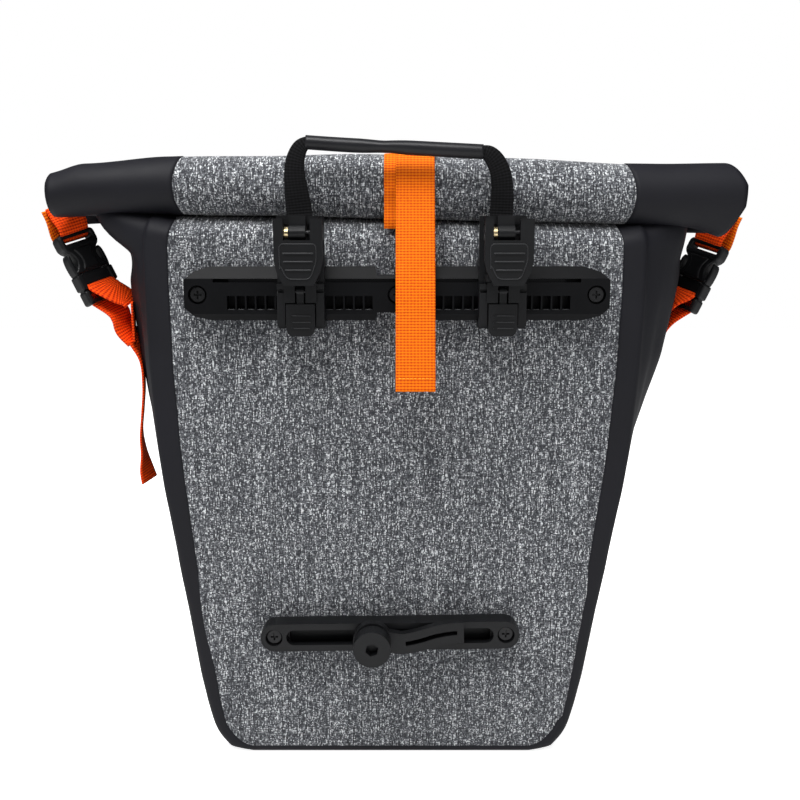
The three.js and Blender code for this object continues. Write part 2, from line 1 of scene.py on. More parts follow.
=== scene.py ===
"""Looks of a roll-top pannier bag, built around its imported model.

Lengths are millimetres until a mesh is made, and heights count from the floor.
"""

import math

import bmesh
import bpy
import numpy as np
from mathutils import Matrix, Vector


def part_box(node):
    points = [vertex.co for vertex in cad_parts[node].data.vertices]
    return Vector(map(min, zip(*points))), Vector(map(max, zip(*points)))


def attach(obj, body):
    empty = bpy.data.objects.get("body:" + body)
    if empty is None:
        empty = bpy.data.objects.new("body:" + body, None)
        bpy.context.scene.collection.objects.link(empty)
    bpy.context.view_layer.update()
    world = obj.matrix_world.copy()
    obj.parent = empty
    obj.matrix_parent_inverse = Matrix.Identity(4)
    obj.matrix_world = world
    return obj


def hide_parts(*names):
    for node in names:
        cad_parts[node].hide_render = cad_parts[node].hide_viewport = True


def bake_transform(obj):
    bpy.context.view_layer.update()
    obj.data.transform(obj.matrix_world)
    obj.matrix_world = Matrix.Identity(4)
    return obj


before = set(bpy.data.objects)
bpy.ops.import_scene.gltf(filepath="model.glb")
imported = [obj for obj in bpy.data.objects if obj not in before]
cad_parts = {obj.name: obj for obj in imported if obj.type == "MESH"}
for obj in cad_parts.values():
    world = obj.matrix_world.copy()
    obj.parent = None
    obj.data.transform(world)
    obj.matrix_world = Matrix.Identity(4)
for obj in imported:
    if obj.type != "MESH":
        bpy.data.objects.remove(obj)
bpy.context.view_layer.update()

MM = 0.001
PI = math.pi

# ---------------------------------------------------------------- driving sizes

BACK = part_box("back_panel")[0].y / MM          # plane of the back panel
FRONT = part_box("front_panel")[1].y / MM        # plane of the front panel
NECK_BACK, NECK_FRONT, NECK_TOP = -36.0, -25.0, 398.0
SHOULDER = (367.4, 383.4)                      # heights between which the back leans in under the roll
SLOPE_START, SLOPE_END = 300.0, 392.0          # heights between which the front leans back
BACK_TOE, FRONT_TOE = 6.0, 20.0                # radii at the foot of the two panels
FOOT_Z, FOOT_HALF = 4.0, 99.0                  # the seam along the foot: its height and half its length
FOOT_ROUND_TOP = 24.0                          # height up to which the outline is stepped finely
SKEW, SKEW_TOP = 3.7, 330.0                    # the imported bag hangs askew, its foot left of its top
PANEL_FABRIC, GUSSET_FABRIC, ROLL_FABRIC = 1.4, 1.2, 1.3

# Width of the black edge beside the back panel, as (height, width).
BORDER = [(20, 7.5), (60, 9.8), (110, 11), (155, 12), (200, 14.2), (260, 15.5), (309, 16)]
BORDER_FOOT = 4.0

# Outlines as (height, half width), read from the edges in the picture. The bag leans out more on the right.
SIDE_FOOT = [(0, 97), (3, 108), (10, 118), (22, 127.5), (40, 130), (70, 133.4), (117, 143.2), (137, 147.9),
             (155, 152.8), (177, 158.3), (205, 165.2), (233, 171)]
BAG_LEFT = SIDE_FOOT + [(262, 176.1), (289, 180), (309, 182.3), (330, 184), (352, 184.6), (359, 185),
                        (361.5, 187), (365, 192.5), (370, 200.5), (378.4, 207.5), (384.5, 210), (400, 218)]
BAG_RIGHT = SIDE_FOOT + [(262, 179.5), (289, 188.5), (309, 192), (330, 195), (352, 197), (366, 198),
                         (377, 201), (384, 211), (400, 228)]
PANEL_SIDE = [(4, 100), (6, 106.5), (10, 112.5), (20, 120), (40, 124), (60, 127), (110, 133.5),
              (140, 138.2), (170, 141.6), (198, 145), (226, 147.8), (254, 149.4), (282, 151.3), (329, 152.5),
              (368, 152.5), (384, 148.5), (400, 147)]

ROLL_Y, ROLL_Z, ROLL_RY, ROLL_RZ = -56.0, 400.8, 18.5, 19.0
ROLL_HALF = 231.0
ROLL_SEAM_LEFT, ROLL_SEAM_RIGHT = -147.0, 158.5
ROLL_FIRST = -42.0                             # degrees round the roll at which its sheet leaves the front
ROLL_LAST_MIDDLE, ROLL_LAST_END = 760.0, 980.0  # degrees at which the grey and the black sheets end
ROLL_LAYER = 4.2                               # how much the roll's radius shrinks in one turn
ROLL_BULGE = 3.4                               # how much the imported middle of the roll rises
ROLL_FOOT = 366.0                              # the roll's lowest point
ROLL_SLOPE = -math.tan(math.radians(1.02))     # the right end of the roll sits lower than the left

# Cut ends of the roll, as (degrees round it, X).
ROLL_CUT_LEFT = [(0, -226), (60, -222), (90, -219), (112, -230), (150, -231), (262, -230), (300, -226),
                 (360, -226)]
ROLL_CUT_RIGHT = [(0, 224), (90, 220), (162, 231.5), (198, 231), (258, 220), (300, 219), (360, 224)]

WEB, WEB_THICK, WEB_RIB, WEB_PAIR = 25.6, 1.7, 1.9, 2.2
UNDER_X, CLOSURE_X, FRONT_X = 5.3, 13.0, 4.5   # closure strap: under layer, loose end, front buckle
HEM_Z = 281.4

HOOK_X = {"left": -60.2, "right": 70.8}
LEVER_FACE, TAB_FACE, SLOT_FACE = 44.0, 28.5, 15.0   # out from the back panel
RAIL_X, SLOT_GROUP, SLOT_PITCH, SLOT_FOOT = 2.1, 64.6, 6.42, 323.75
HANDLE_OUT = 10.0

CAMERA_X, CAMERA_AWAY, CAMERA_HEIGHT = 0.003, 0.6385, 0.3736   # metres
CAMERA_LENS, CAMERA_SENSOR, CAMERA_PITCH = 42.75, 36.0, 80
LIGHTS_AIM = (0, 0, 0.2)


def out(q):
    """Distance out of the back panel, towards the rack, as a Y coordinate."""
    return BACK - q


def soft_table(table, spread=4.0):
    """A table of (height, value) pairs as a function of height, smoothed except near the foot."""
    pitch = 0.5
    z = np.arange(-60.0, 460.0, pitch)
    value = np.interp(z, *zip(*table))
    kernel = np.exp(-0.5 * (np.arange(-3 * spread, 3 * spread + 0.1, pitch) / spread) ** 2)
    smooth = np.convolve(value, kernel / kernel.sum(), mode="same")
    near = np.clip((z - 6) / 10, 0, 1)
    return lambda at: np.interp(at, z, value * (1 - near) + smooth * near)


def ramp(x, low, high):
    """0 below low, 1 above high, smooth between."""
    t = np.clip((np.asarray(x, float) - low) / (high - low), 0, 1)
    return t * t * (3 - 2 * t)


def bump(x, centre, width):
    """1 at the centre, falling off smoothly over the width."""
    return np.exp(-(((np.asarray(x, float) - centre) / width) ** 2))


bag_left = soft_table(BAG_LEFT, 1.5)
bag_right = soft_table(BAG_RIGHT, 2.5)
panel_half = soft_table(PANEL_SIDE)
border_at = soft_table(BORDER)


def skew(z):
    """Sideways shift of the bag's shell at a height."""
    return -SKEW * np.clip(1 - np.asarray(z, float) / SKEW_TOP, 0, 1)


# ---------------------------------------------------------------- mesh helpers

def mesh_object(name, points, faces, uvs=None):
    """A mesh from points in millimetres, with UVs in millimetres too, so weaves keep their real scale."""
    mesh = bpy.data.meshes.new(name)
    mesh.from_pydata([tuple(p) for p in np.asarray(points, float) * MM], [], [tuple(f) for f in faces])
    mesh.polygons.foreach_set("use_smooth", [True] * len(mesh.polygons))
    if uvs is not None:
        layer = mesh.uv_layers.new(name="metric")
        loops = np.empty(len(mesh.loops), dtype=np.int64)
        mesh.loops.foreach_get("vertex_index", loops)
        layer.data.foreach_set("uv", (np.asarray(uvs, float)[loops]).ravel())
    mesh.update()
    o = bpy.data.objects.new(name, mesh)
    bpy.context.scene.collection.objects.link(o)
    return o


def grid_faces(rows, cols, wrap=False):
    """Quads of a grid of points, listed row by row; wrap closes each row."""
    faces = []
    for r in range(rows - 1):
        for c in range(cols if wrap else cols - 1):
            d = (c + 1) % cols
            faces.append((r * cols + c, r * cols + d, (r + 1) * cols + d, (r + 1) * cols + c))
    return faces


def sheet(name, points, uvs, thick, flip=False):
    """A sheet from an array of points, rows by columns by 3, with an even thickness."""
    rows, cols = points.shape[:2]
    faces = grid_faces(rows, cols)
    if flip:
        faces = [f[::-1] for f in faces]
    o = mesh_object(name, points.reshape(-1, 3), faces, uvs.reshape(-1, 2))
    wall = o.modifiers.new("thickness", "SOLIDIFY")
    wall.thickness = thick * MM
    wall.offset = -1.0
    return o


def path_points(points, step=2.0):
    """A smooth path through a list of points, sampled every step millimetres."""
    p = np.array(points, float)
    p = np.vstack([2 * p[0] - p[1], p, 2 * p[-1] - p[-2]])
    fine = []
    for a, b, c, d in zip(p[:-3], p[1:-2], p[2:-1], p[3:]):
        count = max(2, int(np.linalg.norm(c - b) / step * 2))
        for t in np.linspace(0, 1, count, endpoint=False):
            fine.append(0.5 * ((2 * b) + (c - a) * t + (2 * a - 5 * b + 4 * c - d) * t ** 2
                               + (3 * b - a - 3 * c + d) * t ** 3))
    fine.append(p[-2])
    fine = np.array(fine)
    length = np.concatenate([[0], np.cumsum(np.linalg.norm(np.diff(fine, axis=0), axis=1))])
    even = np.linspace(0, length[-1], max(3, int(length[-1] / step) + 1))
    return np.stack([np.interp(even, length, fine[:, i]) for i in range(fine.shape[1])], 1), even


def sweep_frames(at, wide):
    """Unit side and face directions along a path, from the width direction that is asked for."""
    forward = np.gradient(at, axis=0)
    forward /= np.linalg.norm(forward, axis=1)[:, None]
    side = wide - (wide * forward).sum(1)[:, None] * forward
    side /= np.linalg.norm(side, axis=1)[:, None]
    return side, np.cross(forward, side)


def ribbon(name, stations, width=WEB, step=1.5):
    """Webbing through stations of (x, y, z, width direction x, y, z)."""
    rows, length = path_points(stations, step)
    at, wide = rows[:, :3], rows[:, 3:6]
    side, face = sweep_frames(at, wide)
    flat = np.linspace(-1, 1, 9)
    edge = 0.35 * WEB_THICK / width
    top = [(w * (1 - edge), 0.5 - 0.08 * abs(w) ** 6) for w in flat]
    section = top + [(1.0, 0.25), (1.0, -0.25)] + [(w, -t) for w, t in top[::-1]]
    section += [(-1.0, -0.25), (-1.0, 0.25)]
    points, uvs = [], []
    for p, s, f, run in zip(at, side, face, length):
        for w, t in section:
            points.append(p + s * w * width / 2 + f * t * WEB_THICK)
            uvs.append((w * width / 2, run))
    count = len(section)
    faces = [f[::-1] for f in grid_faces(len(at), count, wrap=True)]
    faces += [tuple(range(count)), tuple(reversed(range((len(at) - 1) * count, len(at) * count)))]
    return mesh_object(name, points, faces, uvs)


def tube(name, points, radius, steps=20, step=1.5, flatten=None):
    """A round bar or sleeve along a path; flatten(share along) gives (height, depth) scales."""
    at, length = path_points(points, step)
    side, face = sweep_frames(at, np.tile((0.0, 1.0, 0.0), (len(at), 1)))
    made, uvs = [], []
    for p, s, f, run in zip(at, side, face, length):
        high, deep = flatten(run / length[-1]) if flatten else (1, 1)
        for i in range(steps):
            a = 2 * PI * i / steps
            made.append(p + s * radius * deep * math.cos(a) + f * radius * high * math.sin(a))
            uvs.append((radius * a, run))
    faces = [f[::-1] for f in grid_faces(len(at), steps, wrap=True)]
    faces += [tuple(range(steps)), tuple(reversed(range((len(at) - 1) * steps, len(at) * steps)))]
    return mesh_object(name, made, faces, uvs)


def band(name, stations, step=1.2):
    """Webbing that bends within its own width, its face towards Y.

    Its stations are (x, y, z, width, thickness).
    """
    rows, length = path_points(stations, step)
    at = rows[:, :3]
    forward = np.gradient(at, axis=0)
    forward /= np.linalg.norm(forward, axis=1)[:, None]
    face = np.tile((0.0, -1.0, 0.0), (len(at), 1))
    face -= (face * forward).sum(1)[:, None] * forward
    face /= np.linalg.norm(face, axis=1)[:, None]
    side = np.cross(face, forward)
    turn = np.linspace(0, 2 * PI, 25)[:-1]
    points, uvs = [], []
    for p, s, f, (width, thick), run in zip(at, side, face, rows[:, 3:5], length):
        for a in turn:
            w = abs(math.cos(a)) ** 0.25 * math.copysign(1, math.cos(a))
            t = abs(math.sin(a)) ** 0.6 * math.copysign(1, math.sin(a))
            points.append(p + s * w * width / 2 + f * t * thick / 2)
            uvs.append((w * width / 2, run))
    count = len(turn)
    faces = grid_faces(len(at), count, wrap=True)
    faces += [tuple(reversed(range(count))), tuple(range((len(at) - 1) * count, len(at) * count))]
    return mesh_object(name, points, faces, uvs)


def join(name, objects):
    """Joins mesh objects, modifiers applied, into one."""
    made = bmesh.new()
    graph = bpy.context.evaluated_depsgraph_get()
    for o in objects:
        part = o.evaluated_get(graph).to_mesh()
        part.transform(o.matrix_world)
        made.from_mesh(part)
    mesh = bpy.data.meshes.new(name)
    made.to_mesh(mesh)
    made.free()
    result = bpy.data.objects.new(name, mesh)
    bpy.context.scene.collection.objects.link(result)
    for o in objects:
        bpy.data.objects.remove(o)
    return result


def rounded(corners, radius):
    """A closed outline with its corners rounded; corners are (x, y) or (x, y, radius)."""
    made = []
    for i, corner in enumerate(corners):
        before, here, after = (Vector(corners[j % len(corners)][:2]) for j in (i - 1, i, i + 1))
        r = corner[2] if len(corner) > 2 else radius
        a = here + (before - here).normalized() * min(r, 0.49 * (before - here).length)
        b = here + (after - here).normalized() * min(r, 0.49 * (after - here).length)
        for t in np.linspace(0, 1, 7):
            made.append((1 - t) ** 2 * a + 2 * t * (1 - t) * here + t * t * b)
    return made


def place(o, body, material, slot, *nodes):
    """Gives a piece its body and finish, and hides the CAD nodes that it stands for."""
    o.data.materials.clear()
    o.data.materials.append(material)
    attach(o, body)
    if nodes:
        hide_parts(*nodes)
    return o


# ---------------------------------------------------------------- materials

class Nodes:
    """A material's node tree, with short ways to add and link nodes."""

    def __init__(self, name, color, roughness, **sockets):
        self.material = bpy.data.materials.new(name)
        self.material.use_nodes = True
        self.tree = self.material.node_tree
        self.shader = self.tree.nodes["Principled BSDF"]
        self.shader.inputs["Base Color"].default_value = (*color, 1)
        self.shader.inputs["Roughness"].default_value = roughness
        for key, value in sockets.items():
            self.shader.inputs[key.replace("_", " ")].default_value = value

    def add(self, kind, settings=None, **inputs):
        """A node; inputs are given by name, or by place as i0, i1."""
        node = self.tree.nodes.new(kind)
        for key, value in (settings or {}).items():
            setattr(node, key, value)
        for key, value in inputs.items():
            by_place = key[0] == "i" and key[1:].isdigit()
            socket = node.inputs[int(key[1:]) if by_place else key.replace("_", " ")]
            if isinstance(value, bpy.types.NodeSocket):
                self.tree.links.new(value, socket)
            else:
                socket.default_value = value
        return node

    def coordinates(self, scale, metric=True):
        """UVs in millimetres, or object coordinates, times scale."""
        source = self.add("ShaderNodeTexCoord")
        vector = source.outputs["UV" if metric else "Object"]
        return self.add("ShaderNodeMapping", Vector=vector, Scale=scale).outputs[0]

    def noise(self, vector, detail=2.0, roughness=0.5):
        """Noise from 0 to 1."""
        return self.add("ShaderNodeTexNoise", Vector=vector, Scale=1.0, Detail=detail,
                        Roughness=roughness).outputs["Fac"]

    def math(self, operation, a, b=0.0):
        """A sum on two values; a third input keeps its own 0.5."""
        return self.add("ShaderNodeMath", {"operation": operation}, i0=a, i1=b).outputs[0]

    def ramp(self, value, stops):
        """A colour by value, from (position, colour) stops."""
        node = self.add("ShaderNodeValToRGB", Fac=value)
        elements = node.color_ramp.elements
        while len(elements) < len(stops):
            elements.new(0.5)
        for element, (position, color) in zip(elements, stops):
            element.position = position
            element.color = (*color, 1)
        return node.outputs["Color"]

    def link(self, socket, name):
        """Feeds one of the shader's inputs."""
        self.tree.links.new(socket, self.shader.inputs[name])

    def bump(self, height, distance, strength):
        """Relief on the shader's normal, its distance in millimetres."""
        node = self.add("ShaderNodeBump", Height=height, Distance=distance * MM, Strength=strength)
        self.link(node.outputs[0], "Normal")


def wave(n, axis, pitch):
    """A ripple along one axis of the metric UVs, from 0 to 1."""
    scale = [0.0, 0.0, 0.0]
    scale[axis] = 2 * PI / pitch
    split = n.add("ShaderNodeSeparateXYZ", Vector=n.coordinates(scale))
    return n.math("MULTIPLY_ADD", n.math("SINE", split.outputs[axis]), 0.5)


def heather_material():
    """Melange polyester: pale and charcoal yarns in short runs, crossing in a plain weave."""
    n = Nodes("heather_fabric", (0.10, 0.105, 0.11), 0.9, Sheen_Weight=0.15, Sheen_Roughness=0.5)
    warp = n.noise(n.coordinates((1.15, 0.2, 1)), detail=1.0, roughness=0.6)
    weft = n.noise(n.coordinates((0.25, 1.25, 1)), detail=1.0, roughness=0.6)
    fleck = n.noise(n.coordinates((1.15, 1.0, 1)), detail=2.0, roughness=0.7)
    slub = n.noise(n.coordinates((0.40, 0.012, 1)), detail=2.0)
    cells = n.coordinates((1.15, 1.15, 0))
    grid = n.add("ShaderNodeVectorMath", {"operation": "FLOOR"}, i0=cells).outputs[0]
    knot = n.add("ShaderNodeTexWhiteNoise", {"noise_dimensions": "2D"}, Vector=grid).outputs["Value"]
    threads = n.math("ADD", n.math("MULTIPLY", warp, 0.36), n.math("MULTIPLY", weft, 0.20))
    threads = n.math("ADD", threads, n.math("MULTIPLY", n.math("SUBTRACT", knot, 0.5), 0.13))
    threads = n.math("ADD", threads, n.math("MULTIPLY", fleck, 0.30))
    threads = n.math("ADD", threads, n.math("MULTIPLY", slub, 0.14))
    color = n.ramp(threads, [(0.405, (0.007, 0.008, 0.011)), (0.485, (0.038, 0.041, 0.049)),
                             (0.55, (0.135, 0.140, 0.150)), (0.62, (0.62, 0.64, 0.65))])
    n.link(color, "Base Color")
    weave = n.math("ADD", wave(n, 0, 0.7), wave(n, 1, 0.7))
    n.bump(n.math("ADD", n.math("MULTIPLY", weave, 0.4), threads), 0.16, 0.7)
    return n.material


def coated_material():
    """Smooth matt coated fabric, with the base cloth's fine weave just showing."""
    n = Nodes("coated_fabric", (0.0062, 0.0062, 0.008), 0.6, Specular_IOR_Level=0.2)
    cloud = n.noise(n.coordinates((18, 18, 18), metric=False), detail=4.0)
    n.link(n.ramp(cloud, [(0.3, (0.0046, 0.0046, 0.0068)), (0.7, (0.0070, 0.0070, 0.0100))]), "Base Color")
    n.link(n.ramp(cloud, [(0.3, (0.56, 0.56, 0.56)), (0.7, (0.70, 0.70, 0.70))]), "Roughness")
    grain = n.noise(n.coordinates((1500, 1500, 1500), metric=False), detail=2.0)
    weave = n.math("ADD", wave(n, 0, 0.9), wave(n, 1, 0.9))
    n.bump(n.math("ADD", n.math("MULTIPLY", weave, 0.35), grain), 0.05, 0.6)
    return n.material


def plastic_material(name="black_plastic", color=(0.0042, 0.0044, 0.0050), roughness=0.42, specular=0.22):
    """Moulded nylon with a fine spark-eroded grain and slightly rubbed high spots."""
    n = Nodes(name, color, roughness, Specular_IOR_Level=specular)
    grain = n.noise(n.coordinates((1900, 1900, 1900), metric=False), detail=3.0)
    cloud = n.noise(n.coordinates((60, 60, 60), metric=False), detail=3.0)
    lighter = tuple(c * 1.25 for c in color)
    n.link(n.ramp(cloud, [(0.35, color), (0.7, lighter)]), "Base Color")
    n.link(n.ramp(grain, [(0.3, (roughness - 0.06,) * 3), (0.7, (roughness + 0.1,) * 3)]), "Roughness")
    n.bump(grain, 0.03, 0.5)
    return n.material


def web_material(name, base, groove_shade):
    """Flat webbing: crosswise ribs of paired threads, with painted shade between the ribs, a painted
    highlight on their crests and a faint random tone.
    """
    n = Nodes(name, base, 0.8, Specular_IOR_Level=0.12)
    ribs = wave(n, 1, WEB_RIB)
    pairs = wave(n, 0, WEB_PAIR)
    knit = n.math("ADD", n.math("MULTIPLY", ribs, 0.65), n.math("MULTIPLY", pairs, 0.35))
    tone = n.noise(n.coordinates((0.4, 0.25, 1)), detail=3.0)
    shade = n.math("ADD", n.math("MULTIPLY", knit, 0.8), n.math("MULTIPLY", tone, 0.2))
    # painted shade between the ribs and painted highlight on their crests, from the same ribs as the bump
    n.link(n.ramp(shade, [(0.2, groove_shade), (0.62, base), (0.9, tuple(min(1, c * 1.12 + 0.002) for c in base))]),
           "Base Color")
    n.bump(knit, 0.3, 0.8)
    return n.material


def metal_material(name, color, roughness, metallic):
    """Metal with fine scuffs."""
    n = Nodes(name, color, roughness, Metallic=metallic)
    scuff = n.noise(n.coordinates((400, 400, 400), metric=False), detail=4.0)
    n.link(n.ramp(scuff, [(0.3, (roughness * 0.75,) * 3), (0.75, (roughness * 1.35,) * 3)]), "Roughness")
    n.bump(scuff, 0.02, 0.4)
    return n.material


HEATHER = heather_material()
COATED = coated_material()
PLASTIC = plastic_material()
RAIL_PLASTIC = plastic_material("rail_plastic", (0.0030, 0.0031, 0.0036), 0.40, 0.09)
SLEEVE = plastic_material("sleeve", (0.009, 0.009, 0.0105), 0.34)
BOARD = plastic_material("board", (0.03, 0.03, 0.032), 0.6)
# painted highlight: a lighter black plastic for thin ridges, standing in for raised edges that catch the
# light
HIGHLIGHT_PLASTIC = plastic_material("painted_highlight_plastic", (0.022, 0.0225, 0.024), 0.38)
THREAD = plastic_material("thread", (0.95, 0.30, 0.02), 0.7, 0.1)
ORANGE = web_material("orange_webbing", (0.71, 0.152, 0.001), (0.46, 0.038, 0.001))
# painted shade: a redder, darker copy of the orange webbing, used on most of the side straps' webbing
SHADED_ORANGE = web_material("orange_webbing_painted_shade", (0.90, 0.070, 0.002), (0.42, 0.018, 0.001))
BLACK_WEB = web_material("black_webbing", (0.0075, 0.0075, 0.0085), (0.003, 0.003, 0.003))
STEEL = metal_material("black_steel", (0.012, 0.012, 0.013), 0.32, 0.6)
BRASS = metal_material("spring_brass", (0.62, 0.50, 0.29), 0.28, 1.0)


# ---------------------------------------------------------------- bag shell

def back_y(z, x=0.0):
    """Y of the back at a height: a small radius at the foot, then flat, then a shoulder under the roll."""
    foot = np.clip(BACK_TOE - z, 0, BACK_TOE)
    rise = np.clip((z - x * ROLL_SLOPE - SHOULDER[0]) / (SHOULDER[1] - SHOULDER[0]), 0, 1)
    lean = (NECK_BACK - BACK) * (1 - np.sqrt(np.clip(1 - rise ** 2.2, 0, 1)))
    return BACK + BACK_TOE - np.sqrt(BACK_TOE ** 2 - foot ** 2) + lean


def front_y(z):
    """Y of the front at a height: a larger radius at the foot, and a slope back towards the roll."""
    toe = np.clip(FRONT_TOE - z, 0, FRONT_TOE)
    rise = np.clip((z - SLOPE_START) / (SLOPE_END - SLOPE_START), 0, 1)
    drop = FRONT_TOE - np.sqrt(FRONT_TOE ** 2 - toe ** 2)
    return FRONT - drop - (FRONT - NECK_FRONT) * rise ** 1.6


def panel_points(face_y, heights, swell):
    """Points and UVs of a panel, a little wider than the seam so that it runs in under the gusset."""
    half = panel_half(heights) + 2.0
    across = np.linspace(-1, 1, 121)
    x = half[:, None] * across[None, :]
    z = np.repeat(heights[:, None], len(across), 1)
    y = (face_y(z, x) if face_y is back_y else face_y(z)) + swell(x, z)
    return np.stack([x + skew(z), y, z], 2), np.stack([x, z], 2)


def back_swell(x, z):
    """The padded back stands a little proud between its fixings, and dimples where the rails pull it in."""
    inside = ramp(150 - abs(x), 0, 30) * ramp(z, 4, 40) * ramp(372 - z, 0, 24)
    ripple = 0.45 * np.sin(x / 23 + z / 61) * np.sin(z / 37 + 1.3) + 0.3 * np.sin(x / 57 - z / 29)
    upper = 0.8 * bump(z, 334, 22) * ramp(142 - abs(x), 0, 10)
    lower = 0.8 * bump(z, 96, 16) * ramp(95 - abs(x + 4), 0, 12)
    return inside * (ripple - 1.0) + upper + lower


def front_swell(x, z):
    """The loaded front bows out and creases where it folds back towards the roll."""
    half = panel_half(z)
    bow = 5.0 * (1 - (x / half) ** 2) * bump(z, 170, 110)
    high_fold = 2.0 * np.sin(x / 31 + z / 17) * bump(z, 345, 34)
    low_fold = 1.2 * np.sin(x / 19 - z / 23) * bump(z, 300, 30)
    fold = high_fold + low_fold
    ripple = 0.5 * np.sin(x / 27 + z / 53) * np.sin(z / 41)
    edge = ramp(half - abs(x), -2, 14)
    return (bow + fold * ramp(SLOPE_END - z, 0, 20) + ripple + 0.8) * edge - 0.8


def panels():
    """The two heather panels."""
    toe = np.linspace(FOOT_Z, FOOT_ROUND_TOP, 12, endpoint=False)
    flat = np.linspace(FOOT_ROUND_TOP, 360, 120, endpoint=False)
    back = panel_points(back_y, np.concatenate([toe, flat, np.linspace(360, 385, 30)]), back_swell)
    place(sheet("back_fabric", *back, thick=PANEL_FABRIC), "bag", HEATHER, "heather_fabric", "back_panel")
    rise = np.linspace(FOOT_ROUND_TOP, NECK_TOP, 150)
    front = panel_points(front_y, np.concatenate([toe, rise]), front_swell)
    place(sheet("front_fabric", *front, thick=PANEL_FABRIC, flip=True), "bag", HEATHER, "heather_fabric",
          "front_panel")


def seam_line():
    """The seam in (x, z), evenly stepped: down from the top left, along the foot and up the right."""
    side = np.linspace(NECK_TOP, FOOT_ROUND_TOP, 170, endpoint=False)
    z = np.concatenate([side, np.linspace(FOOT_ROUND_TOP, FOOT_Z, 24)])
    left = np.stack([-panel_half(z), z], 1)
    foot = np.stack([np.linspace(-FOOT_HALF, FOOT_HALF, 60), np.full(60, FOOT_Z)], 1)
    return np.vstack([left, foot, left[::-1] * (-1, 1)])


def gusset_section(side, half, z, down, back):
    """Section of the gusset as (outward offset, y) from the back seam round to the front seam."""
    front = float(front_y(z))
    room = front - back
    border = float(border_at(z)) * (1 - down) + BORDER_FOOT * down
    flare = max(float(side) - half - border, -1.5) * (1 - down)
    near = min(4.0, 0.4 * room) * (1 - down) + 4.0 * down
    far = min(24.0, 0.4 * room, 1.2 * border) * (1 - down) + 14.0 * down
    full = border + flare
    wide = full + min(7.0, 0.06 * room) * (1 - down)
    return [(-1.0, back - 0.6), (border * 0.5, back - 0.6), (border - near * 0.4, back + 0.3),
            (border + 0.7, back + near * 0.9), (border + flare * 0.55, back + room * 0.1),
            (full, back + room * 0.2), (wide, back + room * 0.45), (wide, back + room * 0.62),
            (full - flare * 0.3, front - far), (border - 1.5, front - far * 0.3),
            (border - far * 0.55 - 1, front + 0.5), (-1.0, front + 0.7)]


def gusset_points():
    """The gusset swept along the seam, with the pleat where it turns out under the roll."""
    columns = 90
    line = seam_line()
    forward = np.gradient(line, axis=0)
    forward /= np.linalg.norm(forward, axis=1)[:, None]
    for _ in range(6):
        forward[1:-1] = (forward[:-2] + forward[1:-1] + forward[2:]) / 3
    outward = np.stack([forward[:, 1], -forward[:, 0]], 1)
    outward /= np.linalg.norm(outward, axis=1)[:, None]
    points, uvs, run = [], [], 0.0
    for i, ((x, z), n) in enumerate(zip(line, outward)):
        if i:
            run += float(np.linalg.norm(line[i] - line[i - 1]))
        down = float(ramp(-n[1], 0.7, 1.0))
        side = bag_left(z) if x < 0 else bag_right(z)
        section, girth = path_points(gusset_section(side, abs(x), z, down, float(back_y(z, x))), 2.0)
        even = np.linspace(0, len(section) - 1, columns)
        at = np.arange(len(section))
        o = np.interp(even, at, section[:, 0])
        y = np.interp(even, at, section[:, 1])
        upright = 1 - down
        depth = (y - BACK) / (FRONT - BACK)
        crease = 61 if x < 0 else 52
        tuck = (5.0 if x < 0 else 2.0) * bump(z, 355, 9) * bump(depth, 0.2, 0.12)
        dent = 2.6 * bump(z, 300, 60) * bump(depth, 0.13, 0.05)
        slack = 1.6 * np.sin(z / 29 + 4 * depth + crease) * np.sin(depth * 7 + z / 71)
        slack = slack * bump(depth, 0.55, 0.28)
        edge = float(border_at(z))
        o = o + upright * (slack - tuck - dent) * ramp(o, edge + 1, edge + 9)
        height = z + n[1] * o
        points.append(np.stack([x + n[0] * o + skew(height), y, np.maximum(height, 0.0)], 1))
        uvs.append(np.stack([np.full(columns, run), np.interp(even, at, girth)], 1))
    return np.array(points), np.array(uvs)


panels()
place(sheet("gusset_fabric", *gusset_points(), thick=GUSSET_FABRIC), "bag", COATED, "coated_fabric",
      "side_gusset")


# ---------------------------------------------------------------- rolled top

def roll_radius(turn):
    """Distance from the roll's middle for an angle in degrees, growing inwards turn by turn."""
    outer = np.interp(turn, [ROLL_FIRST, -10, 30, 62, 90], [33, 27.5, 22.3, 19.6, ROLL_RZ])
    return np.where(turn < 90, outer, ROLL_RZ - (turn - 90) / 360 * ROLL_LAYER)


